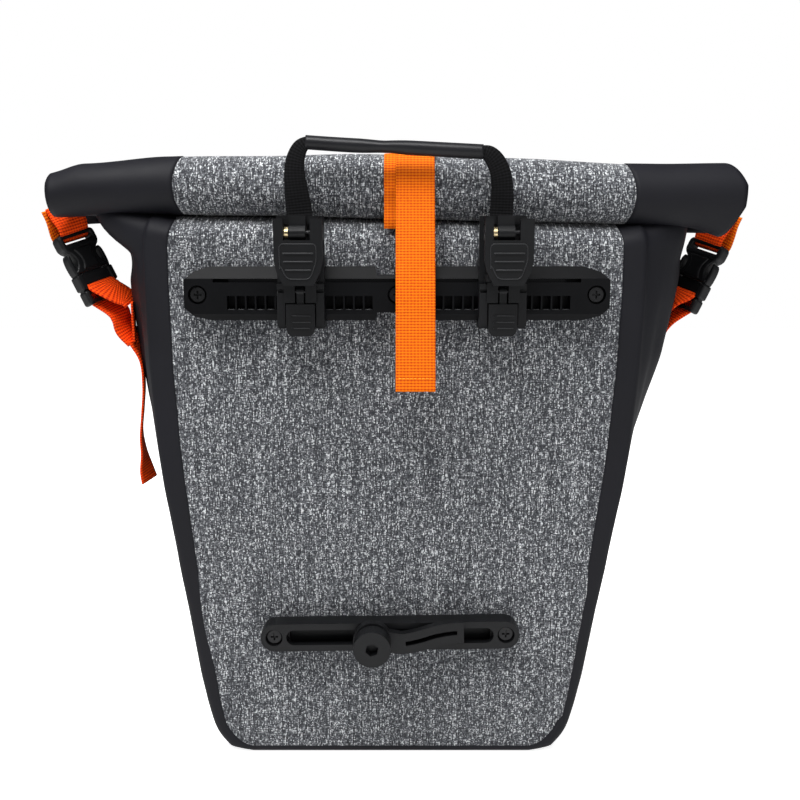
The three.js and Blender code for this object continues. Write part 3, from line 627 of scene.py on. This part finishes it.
def roll_sheet(name, x0, x1, material, slot, node, lift, last):
    """One stretch of the roll between two places along X, wound to the angle last."""
    outside = np.linspace(ROLL_FIRST, 300, 150, endpoint=False)
    turn = np.concatenate([outside, np.linspace(300, last, 150)])
    count = max(8, int(abs(x1 - x0) / 3))
    curve = 4.0 * np.sin(np.radians(turn)) ** 2 * ramp(turn, 20, 90)
    start, end = np.full(len(turn), float(x0)), np.full(len(turn), float(x1))
    for edge in (start, end):
        if abs(edge[0]) < 200:
            edge -= np.sign(edge[0]) * curve
        else:
            edge[:] = np.interp(turn % 360, *zip(*(ROLL_CUT_LEFT if edge[0] < 0 else ROLL_CUT_RIGHT)))
    x = start[:, None] + (end - start)[:, None] * np.linspace(0, 1, count)[None, :]
    a = np.radians(turn)[:, None] + 0 * x
    deg = turn[:, None] + 0 * x
    r = roll_radius(turn)[:, None] * (1 + 0.00022 * x) + lift
    wobble = 0.5 * np.sin(x / 37 + a * 1.3) * np.sin(x / 61 + 2) + 0.3 * np.sin(x / 17 - a * 2)
    r = r + wobble * ramp(deg, -20, 60)
    squeeze = np.where(a < PI / 2, 1.0, ROLL_RY / ROLL_RZ)
    y = ROLL_Y + r * np.cos(a) * squeeze
    full = np.clip(1 - (x / 150) ** 2, 0, 1)
    z = ROLL_Z + r * np.sin(a) + x * ROLL_SLOPE + ROLL_BULGE * full * ramp(np.sin(a), -0.1, 1)
    high = 0.5 + 0.5 * np.sin(a)
    left = ramp(-x, 150, 215) * 5.0 + ramp(-x, 208, 232) * 6.0
    sag = left * high + ramp(-x, 160, 230) * 3.0 * (1 - high)
    droop = ramp(x, 196, 229) * 8.5 * bump(deg, 262, 40) * ramp(310 - deg, -30, 20)
    perk = ramp(x, 175, 230) * 1.6 * high
    z = z - sag - droop + perk
    z = np.maximum(z, ROLL_FOOT)
    radius = roll_radius(turn)
    arc = np.stack([radius * np.cos(np.radians(turn)), radius * np.sin(np.radians(turn))])
    girth = np.concatenate([[0], np.cumsum(np.hypot(*np.diff(arc, axis=1)))])
    uvs = np.stack([x, girth[:, None] + 0 * x], 2)
    points = np.stack([x, y, z], 2)
    place(sheet(name, points, uvs, thick=ROLL_FABRIC), "bag", material, slot, node)


roll_sheet("roll_middle", ROLL_SEAM_LEFT - 1, ROLL_SEAM_RIGHT + 1, HEATHER, "heather_fabric", "roll_center",
           0.0, ROLL_LAST_MIDDLE)
roll_sheet("roll_left", -ROLL_HALF, ROLL_SEAM_LEFT, COATED, "coated_fabric", "roll_end_left", 0.5,
           ROLL_LAST_END)
roll_sheet("roll_right", ROLL_SEAM_RIGHT, ROLL_HALF, COATED, "coated_fabric", "roll_end_right", 0.5,
           ROLL_LAST_END)


# ---------------------------------------------------------------- moulded and metal parts from the model

def dress(node, material, edge):
    """Softens a CAD part's edges and gives it its finish."""
    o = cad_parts[node]
    o.data.materials.clear()
    o.data.materials.append(material)
    clean = o.modifiers.new("clean", "DECIMATE")
    clean.decimate_type = "DISSOLVE"
    clean.angle_limit = math.radians(0.5)
    soft = o.modifiers.new("edges", "BEVEL")
    soft.width = edge * MM
    soft.segments = 3
    soft.limit_method = "ANGLE"
    soft.angle_limit = math.radians(28)
    soft.harden_normals = True
    soft.use_clamp_overlap = True
    for polygon in o.data.polygons:
        polygon.use_smooth = True


for side in ("left", "right"):
    dress(f"{side}_hook_body", PLASTIC, 0.6)
    dress(f"{side}_hook_lever", PLASTIC, 0.6)
    dress(f"{side}_lock_tab", PLASTIC, 0.5)
    dress(f"{side}_lever_pin", STEEL, 0.2)
    dress(f"{side}_lock_tab_pin", STEEL, 0.2)
    dress(f"{side}_lever_spring", BRASS, 0.3)
    dress(f"lower_{side}_screw", STEEL, 0.3)
    dress(f"lower_{side}_washer", STEEL, 0.2)
for spot in ("left", "center", "right"):
    dress(f"rail_{spot}_screw", STEEL, 0.3)
    dress(f"rail_{spot}_washer", STEEL, 0.2)
dress("hook_rail", RAIL_PLASTIC, 1.2)
dress("lower_rail", PLASTIC, 0.8)
dress("swivel_hook", PLASTIC, 0.6)
dress("clamp_knob", PLASTIC, 0.5)
dress("clamp_washer", STEEL, 0.3)
dress("slide_nut", STEEL, 0.3)
dress("stiffener_board", BOARD, 0.3)
dress("roll_stiffener", BOARD, 0.3)


def ridge(name, body, points, radius):
    """A thin ridge, lighter than the moulding that it stands on: a painted highlight where a raised edge
    catches the light.
    """
    place(tube(name, points, radius, steps=8, step=1.0), body, HIGHLIGHT_PLASTIC, "black_plastic")


def bar(x, half, depth, z):
    """Ends of a level ridge across a fitting."""
    return [(x - half, out(depth), z), (x + half, out(depth), z)]


def hook_ridges():
    """Rims and grip ribs of the two levers and their lock tabs, as painted highlights in a lighter plastic.
    """
    outline = [(-11.4, 350), (-11.7, 366.6), (11.3, 366.6), (11.3, 356), (7.2, 345), (-7, 345), (-11.4, 354)]
    for side, x in HOOK_X.items():
        rim = [(a[0] + x, out(LEVER_FACE), a[1]) for a in rounded(outline, 3.0)]
        ridge(f"{side}_lever_rim", f"{side}_lever", rim, 0.3)
        for i, (z, half) in enumerate(((360.9, 9.6), (355.8, 9.2), (350.6, 8.2))):
            ridge(f"{side}_lever_rib_{i}", f"{side}_lever", bar(x, half, LEVER_FACE + 0.5, z), 0.42)
        for i, (z, half) in enumerate(((320.9, 5.8), (316.8, 5.8), (312.9, 5.2))):
            ridge(f"{side}_tab_rib_{i}", f"{side}_tab", bar(x, half, TAB_FACE, z), 0.3)


def rail_ridges():
    """Painted highlights along the lower edges of the rail's slots."""
    made = []
    for centre in (RAIL_X - SLOT_GROUP, RAIL_X + SLOT_GROUP):
        for i in range(-7, 8):
            x = centre + i * SLOT_PITCH
            made.append(tube("slot_edge", bar(x, 2.4, SLOT_FACE, SLOT_FOOT), 0.42, steps=8))
    place(join("slot_edges", made), "bag", HIGHLIGHT_PLASTIC, "black_plastic")


hook_ridges()
rail_ridges()


# ---------------------------------------------------------------- handle

def grip_squeeze(share):
    """Height and depth scales along the sleeve, which is pressed in near its middle."""
    pinch = float(bump(share, 0.44, 0.09))
    return 1 - 0.16 * pinch + 0.06 * share, 1 + 0.1 * pinch


def handle():
    """Sleeve over the webbing, which curls into its ends and runs down behind the hooks."""
    line = [(-57.6, 430.6), (-32, 428.9), (-8, 427.8), (0, 427.6), (30, 426.0), (56.3, 424.6)]
    sag = [(x, out(HANDLE_OUT), z) for x, z in line]
    grip = tube("handle_sleeve", sag, 4.5, steps=28, flatten=grip_squeeze)
    place(grip, "handle", SLEEVE, "sleeve", "handle_grip")
    left = [(-62.8, out(1.5), 354, 17.4, 1.6), (-62.8, out(1.5), 372, 17.4, 1.6),
            (-63.2, out(1.8), 387, 17, 1.6), (-64.6, out(4), 400, 15.5, 1.8),
            (-65.4, out(6.5), 411, 13.6, 2.2), (-64.4, out(8.5), 420, 12, 3),
            (-61.2, out(9.6), 427.2, 10, 4.4),
            (-56.5, out(HANDLE_OUT), 430.4, 7.6, 5.6), (-52, out(HANDLE_OUT), 430.4, 6.4, 5.6)]
    right = [(69.1, out(1.5), 354, 15.6, 1.6), (69.1, out(1.5), 372, 15.6, 1.6),
             (69.6, out(1.8), 387, 15.2, 1.6), (69.8, out(4), 400, 14.6, 1.8),
             (68.6, out(6.5), 410, 13.6, 2.2), (65.2, out(8.5), 418, 12.6, 3),
             (60.6, out(9.6), 423.2, 10.6, 4.4),
             (55.6, out(HANDLE_OUT), 425.0, 7.6, 5.6), (51, out(HANDLE_OUT), 425.4, 6.4, 5.6)]
    for name, stations in (("left", left), ("right", right)):
        web = band(f"handle_web_{name}", stations)
        web.data.materials.append(BLACK_WEB)
        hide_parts(f"handle_webbing_{name}", f"handle_anchor_{name}")
        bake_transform(web)


handle()


# ---------------------------------------------------------------- orange webbing

def over_roll(lift, first, last, count):
    """Points (y, z) round the roll, lifted off it, between two angles in degrees."""
    made = []
    for degrees in np.linspace(first, last, count):
        r = float(roll_radius(degrees)) + 0.8 + lift
        squeeze = 1.0 if degrees < 90 else ROLL_RY / ROLL_RZ
        a = math.radians(degrees)
        rise = ROLL_BULGE * float(ramp(math.sin(a), -0.1, 1))
        made.append((ROLL_Y + r * math.cos(a) * squeeze, ROLL_Z + r * math.sin(a) + rise - 0.1))
    return made


def down_front(lift, heights):
    """Points (y, z) down the front panel, lifted off it."""
    return [(float(front_y(z)) + 3 + lift, z + 0.6 * lift) for z in heights]


def flat_strap(name, x, points, *nodes, width=WEB):
    """Orange webbing that keeps one place along X."""
    stations = [(x, y, z, 1, 0, 0) for y, z in points]
    place(ribbon(name, stations, width), "bag", ORANGE, "orange_webbing", *nodes)


def hem_stitches():
    """A row of stitches across the hem of the loose end."""
    made = []
    for i in range(9):
        x = CLOSURE_X + (i - 4) * 2.5
        dash = [(x - 0.8, out(37.0), HEM_Z), (x, out(37.5), HEM_Z), (x + 0.8, out(37.0), HEM_Z)]
        made.append(tube("stitch", dash, 0.35, steps=6, step=0.8))
    place(join("closure_hem_stitches", made), "bag", THREAD, "orange_webbing")


def closure_strap():
    """The strap over the roll: an under layer, the loose end over it, and that end's hem."""
    under = [(out(1.2), 376), (out(1.6), 382), (out(0.5), 386)] + over_roll(1.2, 196, 20, 12)
    under += [(-27, 402)] + down_front(1.5, [392, 380, 366, 350, 334, 318])
    flat_strap("closure_web", UNDER_X, under, "closure_strap")
    tail = [(out(38), 273), (out(34.5), 290), (out(29), 312), (out(23), 340), (out(14.5), 368),
            (out(6.5), 392)]
    tail += over_roll(3.4, 172, 24, 10) + [(-24, 406)] + down_front(4.0, [394, 382, 366, 352])
    flat_strap("closure_web_tail", CLOSURE_X, tail, "closure_strap_tail")
    hem = [(out(36.4), 273.6), (out(34.6), 280), (out(32.8), 287)]
    flat_strap("closure_web_hem", CLOSURE_X, hem, width=25.0)
    hem_stitches()


def front_webbing():
    """The anchor below the front buckle, and the loop above it."""
    anchor = [(FRONT + 5.2, 192), (FRONT + 5.4, 214), (FRONT + 6, 232), (FRONT + 6.4, 243)]
    web = ribbon("front_anchor_web", [(FRONT_X, y, z, 1, 0, 0) for y, z in anchor])
    web.data.materials.append(ORANGE)
    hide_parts("front_anchor_webbing")
    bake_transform(web)
    loop = [(FRONT + 6.6, 292), (FRONT + 6, 304), (float(front_y(314)) + 7, 314),
            (float(front_y(322)) + 7, 322)]
    flat_strap("front_loop_web", FRONT_X, loop, "front_buckle_loop")


closure_strap()
front_webbing()


# ---------------------------------------------------------------- side-release buckles

def plate(outline, thick, edge, holes=(), radius=1.5):
    """A flat moulding in the XY plane with soft edges and holes through it."""
    curve = bpy.data.curves.new("plate", "CURVE")
    curve.dimensions, curve.fill_mode = "2D", "BOTH"
    curve.extrude, curve.bevel_depth, curve.offset = (thick / 2 - edge) * MM, edge * MM, -edge * MM
    curve.bevel_resolution = 3
    for ring, r in [(outline, radius)] + [(hole[::-1], 0.8) for hole in holes]:
        spots = rounded(ring, r)
        spline = curve.splines.new("POLY")
        spline.points.add(len(spots) - 1)
        for point, at in zip(spline.points, spots):
            point.co = (at[0] * MM, at[1] * MM, 0, 1)
        spline.use_cyclic_u = True
    o = bpy.data.objects.new("plate", curve)
    bpy.context.scene.collection.objects.link(o)
    mesh = bpy.data.meshes.new_from_object(o.evaluated_get(bpy.context.evaluated_depsgraph_get()))
    bpy.data.objects.remove(o)
    made = bpy.data.objects.new("plate", mesh)
    bpy.context.scene.collection.objects.link(made)
    return made


def box_outline(x0, y0, x1, y1):
    """A rectangle's corners."""
    return [(x0, y0), (x1, y0), (x1, y1), (x0, y1)]


def both_sides(half):
    """An outline from its right half, listed from the foot upwards."""
    return half + [(-c[0], *c[1:]) for c in half[::-1]]


def moulding(name, plates, frame_matrix, body, node):
    """Buckle pieces joined and put in place."""
    for o in plates:
        o.data.transform(frame_matrix)
    o = join(name, plates)
    for polygon in o.data.polygons:
        polygon.use_smooth = polygon.area < 3e-6
    return place(o, body, PLASTIC, "black_plastic", node)


def buckle(name, centre, pull, wide, socket_body, plug_body):
    """Socket with open sides above, and the plug with its two springy arms below."""
    up = -Vector(pull).normalized()
    across = (Vector(wide) - up * Vector(wide).dot(up)).normalized()
    basis = Matrix((across, up, across.cross(up))).transposed().to_4x4()
    matrix = Matrix.Translation(Vector(centre) * MM) @ basis
    head = plate(box_outline(-15.4, 17, 15.4, 28.8), 9.6, 1.8, [box_outline(-11.2, 21.8, 11.2, 25.6)], 4.0)
    neck = [(12.8, 0.3), (14.2, 1.6), (10.6, 4.6, 3), (8.8, 9.5, 4), (10.4, 14.4, 3), (14.6, 17.6),
            (14.4, 19.5)]
    waist = plate(both_sides(neck), 8.8, 1.3)
    crest = plate(both_sides([(8.0, 1.6), (5.6, 6, 3), (5.2, 11, 3), (8.6, 17.6)]), 10.2, 1.4, radius=2)
    moulding(f"{name}_buckle_socket", [head, waist, crest], matrix, socket_body, f"{name}_buckle_female")
    frame_plate = plate(box_outline(-14.8, -21.6, 14.8, -0.6), 5.6, 0.9,
                        [box_outline(-11, -18.4, 11, -14.6), box_outline(-11, -10.4, 11, -8.4)], 3.0)
    tongue = plate(box_outline(-8, -1.6, 8, 6), 5.0, 0.6)
    parts = [frame_plate, tongue]
    arm = [(10.8, -0.9), (14.6, -0.9), (15.3, 2.4, 3), (15.5, 8.5, 4), (14.9, 13), (13.4, 15.4),
           (12.2, 14.6), (12.3, 10.5, 3), (12.0, 6, 3), (11.0, 2.6)]
    upper_cheek = box_outline(10.8, -11.2, 15.5, -0.4)
    lower_cheek = box_outline(10.8, -22.2, 15.4, -11.8)
    for s in (-1, 1):
        parts.append(plate([(s * x, y) for x, y in upper_cheek][::s], 9.2, 1.2, radius=1.6))
        parts.append(plate([(s * x, y) for x, y in lower_cheek][::s], 9.0, 1.9, radius=2.2))
        parts.append(plate([(s * c[0], *c[1:]) for c in arm][::s], 7.6, 1.1))
    moulding(f"{name}_buckle_plug", parts, matrix, plug_body, f"{name}_buckle_male")


buckle("front", (FRONT_X, FRONT + 6.5, 270), (0, 0, 1), (1, 0, 0), "front_female", "bag")


# ---------------------------------------------------------------- straps at the sides

class SideStrap:
    """The strap at one end of the roll, from the roll to the buckle, the side seam and the loose tail."""

    width = 23.5
    flat = (-0.05, 1, 0)

    def __init__(self, name, side, centre, rise, bag_x, loop, inner):
        self.name, self.side, self.rise, self.bag_x = name, side, rise, bag_x
        self.loop, self.inner = loop, inner
        self.centre = Vector(centre)
        self.wide = (-side * 0.54, 0.8, 0.25)
        self.pull = Vector((-side * 0.42, 0, -0.907)).normalized()
        front = (Vector(self.wide).cross(self.pull)).normalized()
        self.front = -front if front.y > 0 else front
        self.lean = (-side * 0.80, 0.55, 0.15)
        self.edge_on = (-side * 0.1, 0.96, 0.22)
        self.hanging = (side * 0.2, 0.97, 0.05)

    def along(self, run, off=0.0, over=0.0):
        """A point beside the buckle: along its pull, off its face and across it."""
        sideways = Vector(self.wide).normalized() * over
        return tuple(self.centre + self.pull * run + self.front * off + sideways)

    def seam(self, dx, dy, drop):
        """A point beside the bag's side seam, a drop below the buckle."""
        return (self.side * (self.bag_x + dx), self.centre.y + dy, self.centre.z - drop)

    def make(self):
        """All the pieces of the strap."""
        buckle(self.name, self.centre, self.pull, self.wide, "bag", f"{self.name}_male")
        self.upper()
        self.lower()
        self.seam_strip()
        self.tail()

    def upper(self):
        """Two layers from the roll to the buckle."""
        top = -31 - self.rise
        front = [self.along(top - 14, 5, 0) + self.lean, self.along(top - 8, 5.5, 0) + self.lean,
                 self.along(-32, 5.5) + self.wide, self.along(-26.5, 2.5) + self.wide,
                 self.along(-24.2, -1) + self.wide]
        place(ribbon(f"{self.name}_upper_web", front, width=24), "bag", SHADED_ORANGE, "orange_webbing",
              f"{self.name}_strap_upper")
        behind = [self.along(top - 14, -4, -3) + (-self.side * 0.2, 0.95, 0.1),
                  self.along(top - 6, -6, -3) + self.edge_on, self.along(-31, -6, -1) + self.wide,
                  self.along(-26.5, -4) + self.wide, self.along(-24.2, -1) + self.wide]
        place(ribbon(f"{self.name}_upper_back_web", behind, width=24), "bag", ORANGE, "orange_webbing")

    def tie(self, web):
        """Webbing that is sewn to the bag at one end and meets the plug at the other; its placement is baked
        into its mesh.
        """
        web.data.materials.append(SHADED_ORANGE)
        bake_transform(web)

    def lower(self):
        """Two layers from the plug to the side seam."""
        side, loop, inner, wide = self.side, self.loop, self.inner, self.wide
        front = [self.along(8.2, -2) + wide, self.along(9.5, 3.2) + wide, self.along(13, 6.0) + wide,
                 self.seam(14 * loop, -4, 13) + (-side * 0.4, 0.88, 0.25),
                 self.seam(6.5 * loop, 0, 17.5) + (-side * 0.2, 0.94, 0.24),
                 self.seam(2.6, 1, 22) + self.edge_on]
        web = ribbon(f"{self.name}_lower_web", front, width=self.width)
        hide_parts(f"{self.name}_strap_lower")
        self.tie(web)
        behind = [self.along(8.2, -2) + wide, self.along(13, -3.5) + wide,
                  self.along(19, -3.5) + (-side * 0.5, 0.85, 0.2),
                  self.seam(12.5 * loop, 0, 27.5) + (-side * 0.36, 0.92, 0.15),
                  self.seam(9.8 * loop + inner * 0.5, 0, 33.5) + (-side * 0.28, 0.95, 0.05),
                  self.seam(7.0 * loop + inner, 0, 41) + (-side * 0.35, 0.93, 0.1),
                  self.seam(1.6 + inner, 1, 49.6) + self.edge_on]
        self.tie(ribbon(f"{self.name}_lower_back_web", behind, width=self.width))

    def seam_strip(self):
        """Webbing sewn flat on the seam."""
        strip = [self.seam(1.9 + self.inner * 0.3, 1, 21) + self.hanging,
                 self.seam(1.8 + self.inner * 0.7, 1, 34) + self.hanging,
                 self.seam(1.4 + self.inner, 1, 49) + self.hanging]
        place(ribbon(f"{self.name}_seam_web", strip, width=23), "bag", SHADED_ORANGE, "orange_webbing")

    def tail(self):
        """The loose end: it hangs clear on the left and lies against the side on the right."""
        if self.side < 0:
            run = [self.seam(1.4, 1, 48) + self.edge_on, self.seam(-2.4, 1, 63) + self.hanging,
                   self.seam(-3.4, 1, 81) + self.hanging, self.seam(-1.8, 1, 99) + self.hanging,
                   self.seam(0, 1, 116) + self.hanging, self.seam(-1, 1, 130) + (-0.12, 0.98, 0),
                   self.seam(-2.3, 1, 142) + (0.1, 0.98, 0), self.seam(-4.2, 1, 151) + (0.2, 0.96, 0)]
        else:
            run = [self.seam(4.0, 10, 19) + self.flat, self.seam(7.4, 22, 34) + self.flat,
                   self.seam(5.4, 34, 52) + self.flat, self.seam(-1.4, 44, 80) + self.flat,
                   self.seam(-10.0, 49, 112) + self.flat, self.seam(-14.6, 50, 134) + self.flat]
        place(ribbon(f"{self.name}_tail_web", run, width=23), "bag", SHADED_ORANGE, "orange_webbing",
              f"{self.name}_strap_tail")


SideStrap("left", -1, (-213.7, -42, 347), rise=4, bag_x=183.8, loop=1.0, inner=0).make()
SideStrap("right", 1, (215, -20, 340), rise=8, bag_x=191, loop=0.5, inner=-6).make()


# ---------------------------------------------------------------- stage, light and camera

def stage():
    """A white floor and a world that the camera sees as white, while both light the object softly."""
    far = 3000
    corners = [(-far, -far, -0.5), (far, -far, -0.5), (far, far, -0.5), (-far, far, -0.5)]
    floor = mesh_object("floor", corners, [(0, 1, 2, 3)])
    n = Nodes("floor", (0.9, 0.9, 0.9), 0.9)
    n.shader.inputs["Emission Color"].default_value = (1, 1, 1, 1)
    ray = n.add("ShaderNodeLightPath")
    n.link(n.math("MULTIPLY", ray.outputs["Is Camera Ray"], 0.85), "Emission Strength")
    floor.data.materials.append(n.material)
    world = bpy.data.worlds.new("studio")
    bpy.context.scene.world = world
    world.use_nodes = True
    tree = world.node_tree
    seen = tree.nodes["Background"]
    seen.inputs["Color"].default_value = (1, 1, 1, 1)
    ambient = tree.nodes.new("ShaderNodeBackground")
    ambient.inputs["Color"].default_value = (0.95, 0.97, 1, 1)
    ambient.inputs["Strength"].default_value = 0.17
    ray = tree.nodes.new("ShaderNodeLightPath")
    mix = tree.nodes.new("ShaderNodeMixShader")
    tree.links.new(ray.outputs["Is Camera Ray"], mix.inputs[0])
    tree.links.new(ambient.outputs[0], mix.inputs[1])
    tree.links.new(seen.outputs[0], mix.inputs[2])
    tree.links.new(mix.outputs[0], tree.nodes["World Output"].inputs[0])


def area_light(name, place_at, size, power):
    """A rectangular light aimed at the middle of the bag."""
    light = bpy.data.lights.new(name, "AREA")
    light.shape = "RECTANGLE"
    light.size, light.size_y = size
    light.energy = power
    o = bpy.data.objects.new(name, light)
    bpy.context.scene.collection.objects.link(o)
    o.location = place_at
    o.rotation_euler = (Vector(LIGHTS_AIM) - Vector(place_at)).to_track_quat("-Z", "Y").to_euler()
    return o


def camera():
    """The photograph's camera, looking down a little at the back."""
    data = bpy.data.cameras.new("camera")
    data.lens, data.sensor_width = CAMERA_LENS, CAMERA_SENSOR
    o = bpy.data.objects.new("camera", data)
    bpy.context.scene.collection.objects.link(o)
    o.location = (CAMERA_X, BACK * MM - CAMERA_AWAY, CAMERA_HEIGHT)
    o.rotation_euler = (math.radians(CAMERA_PITCH), 0, 0)
    bpy.context.scene.camera = o


stage()
area_light("key", (-0.35, -0.8, 1.75), (1.3, 0.8), 40)
area_light("fill", (0.9, -1.5, 0.7), (1.2, 1.0), 4)
area_light("top", (0.0, -0.05, 1.7), (1.6, 1.0), 21).visible_glossy = False
camera()
bpy.context.scene.view_settings.view_transform = "Standard"
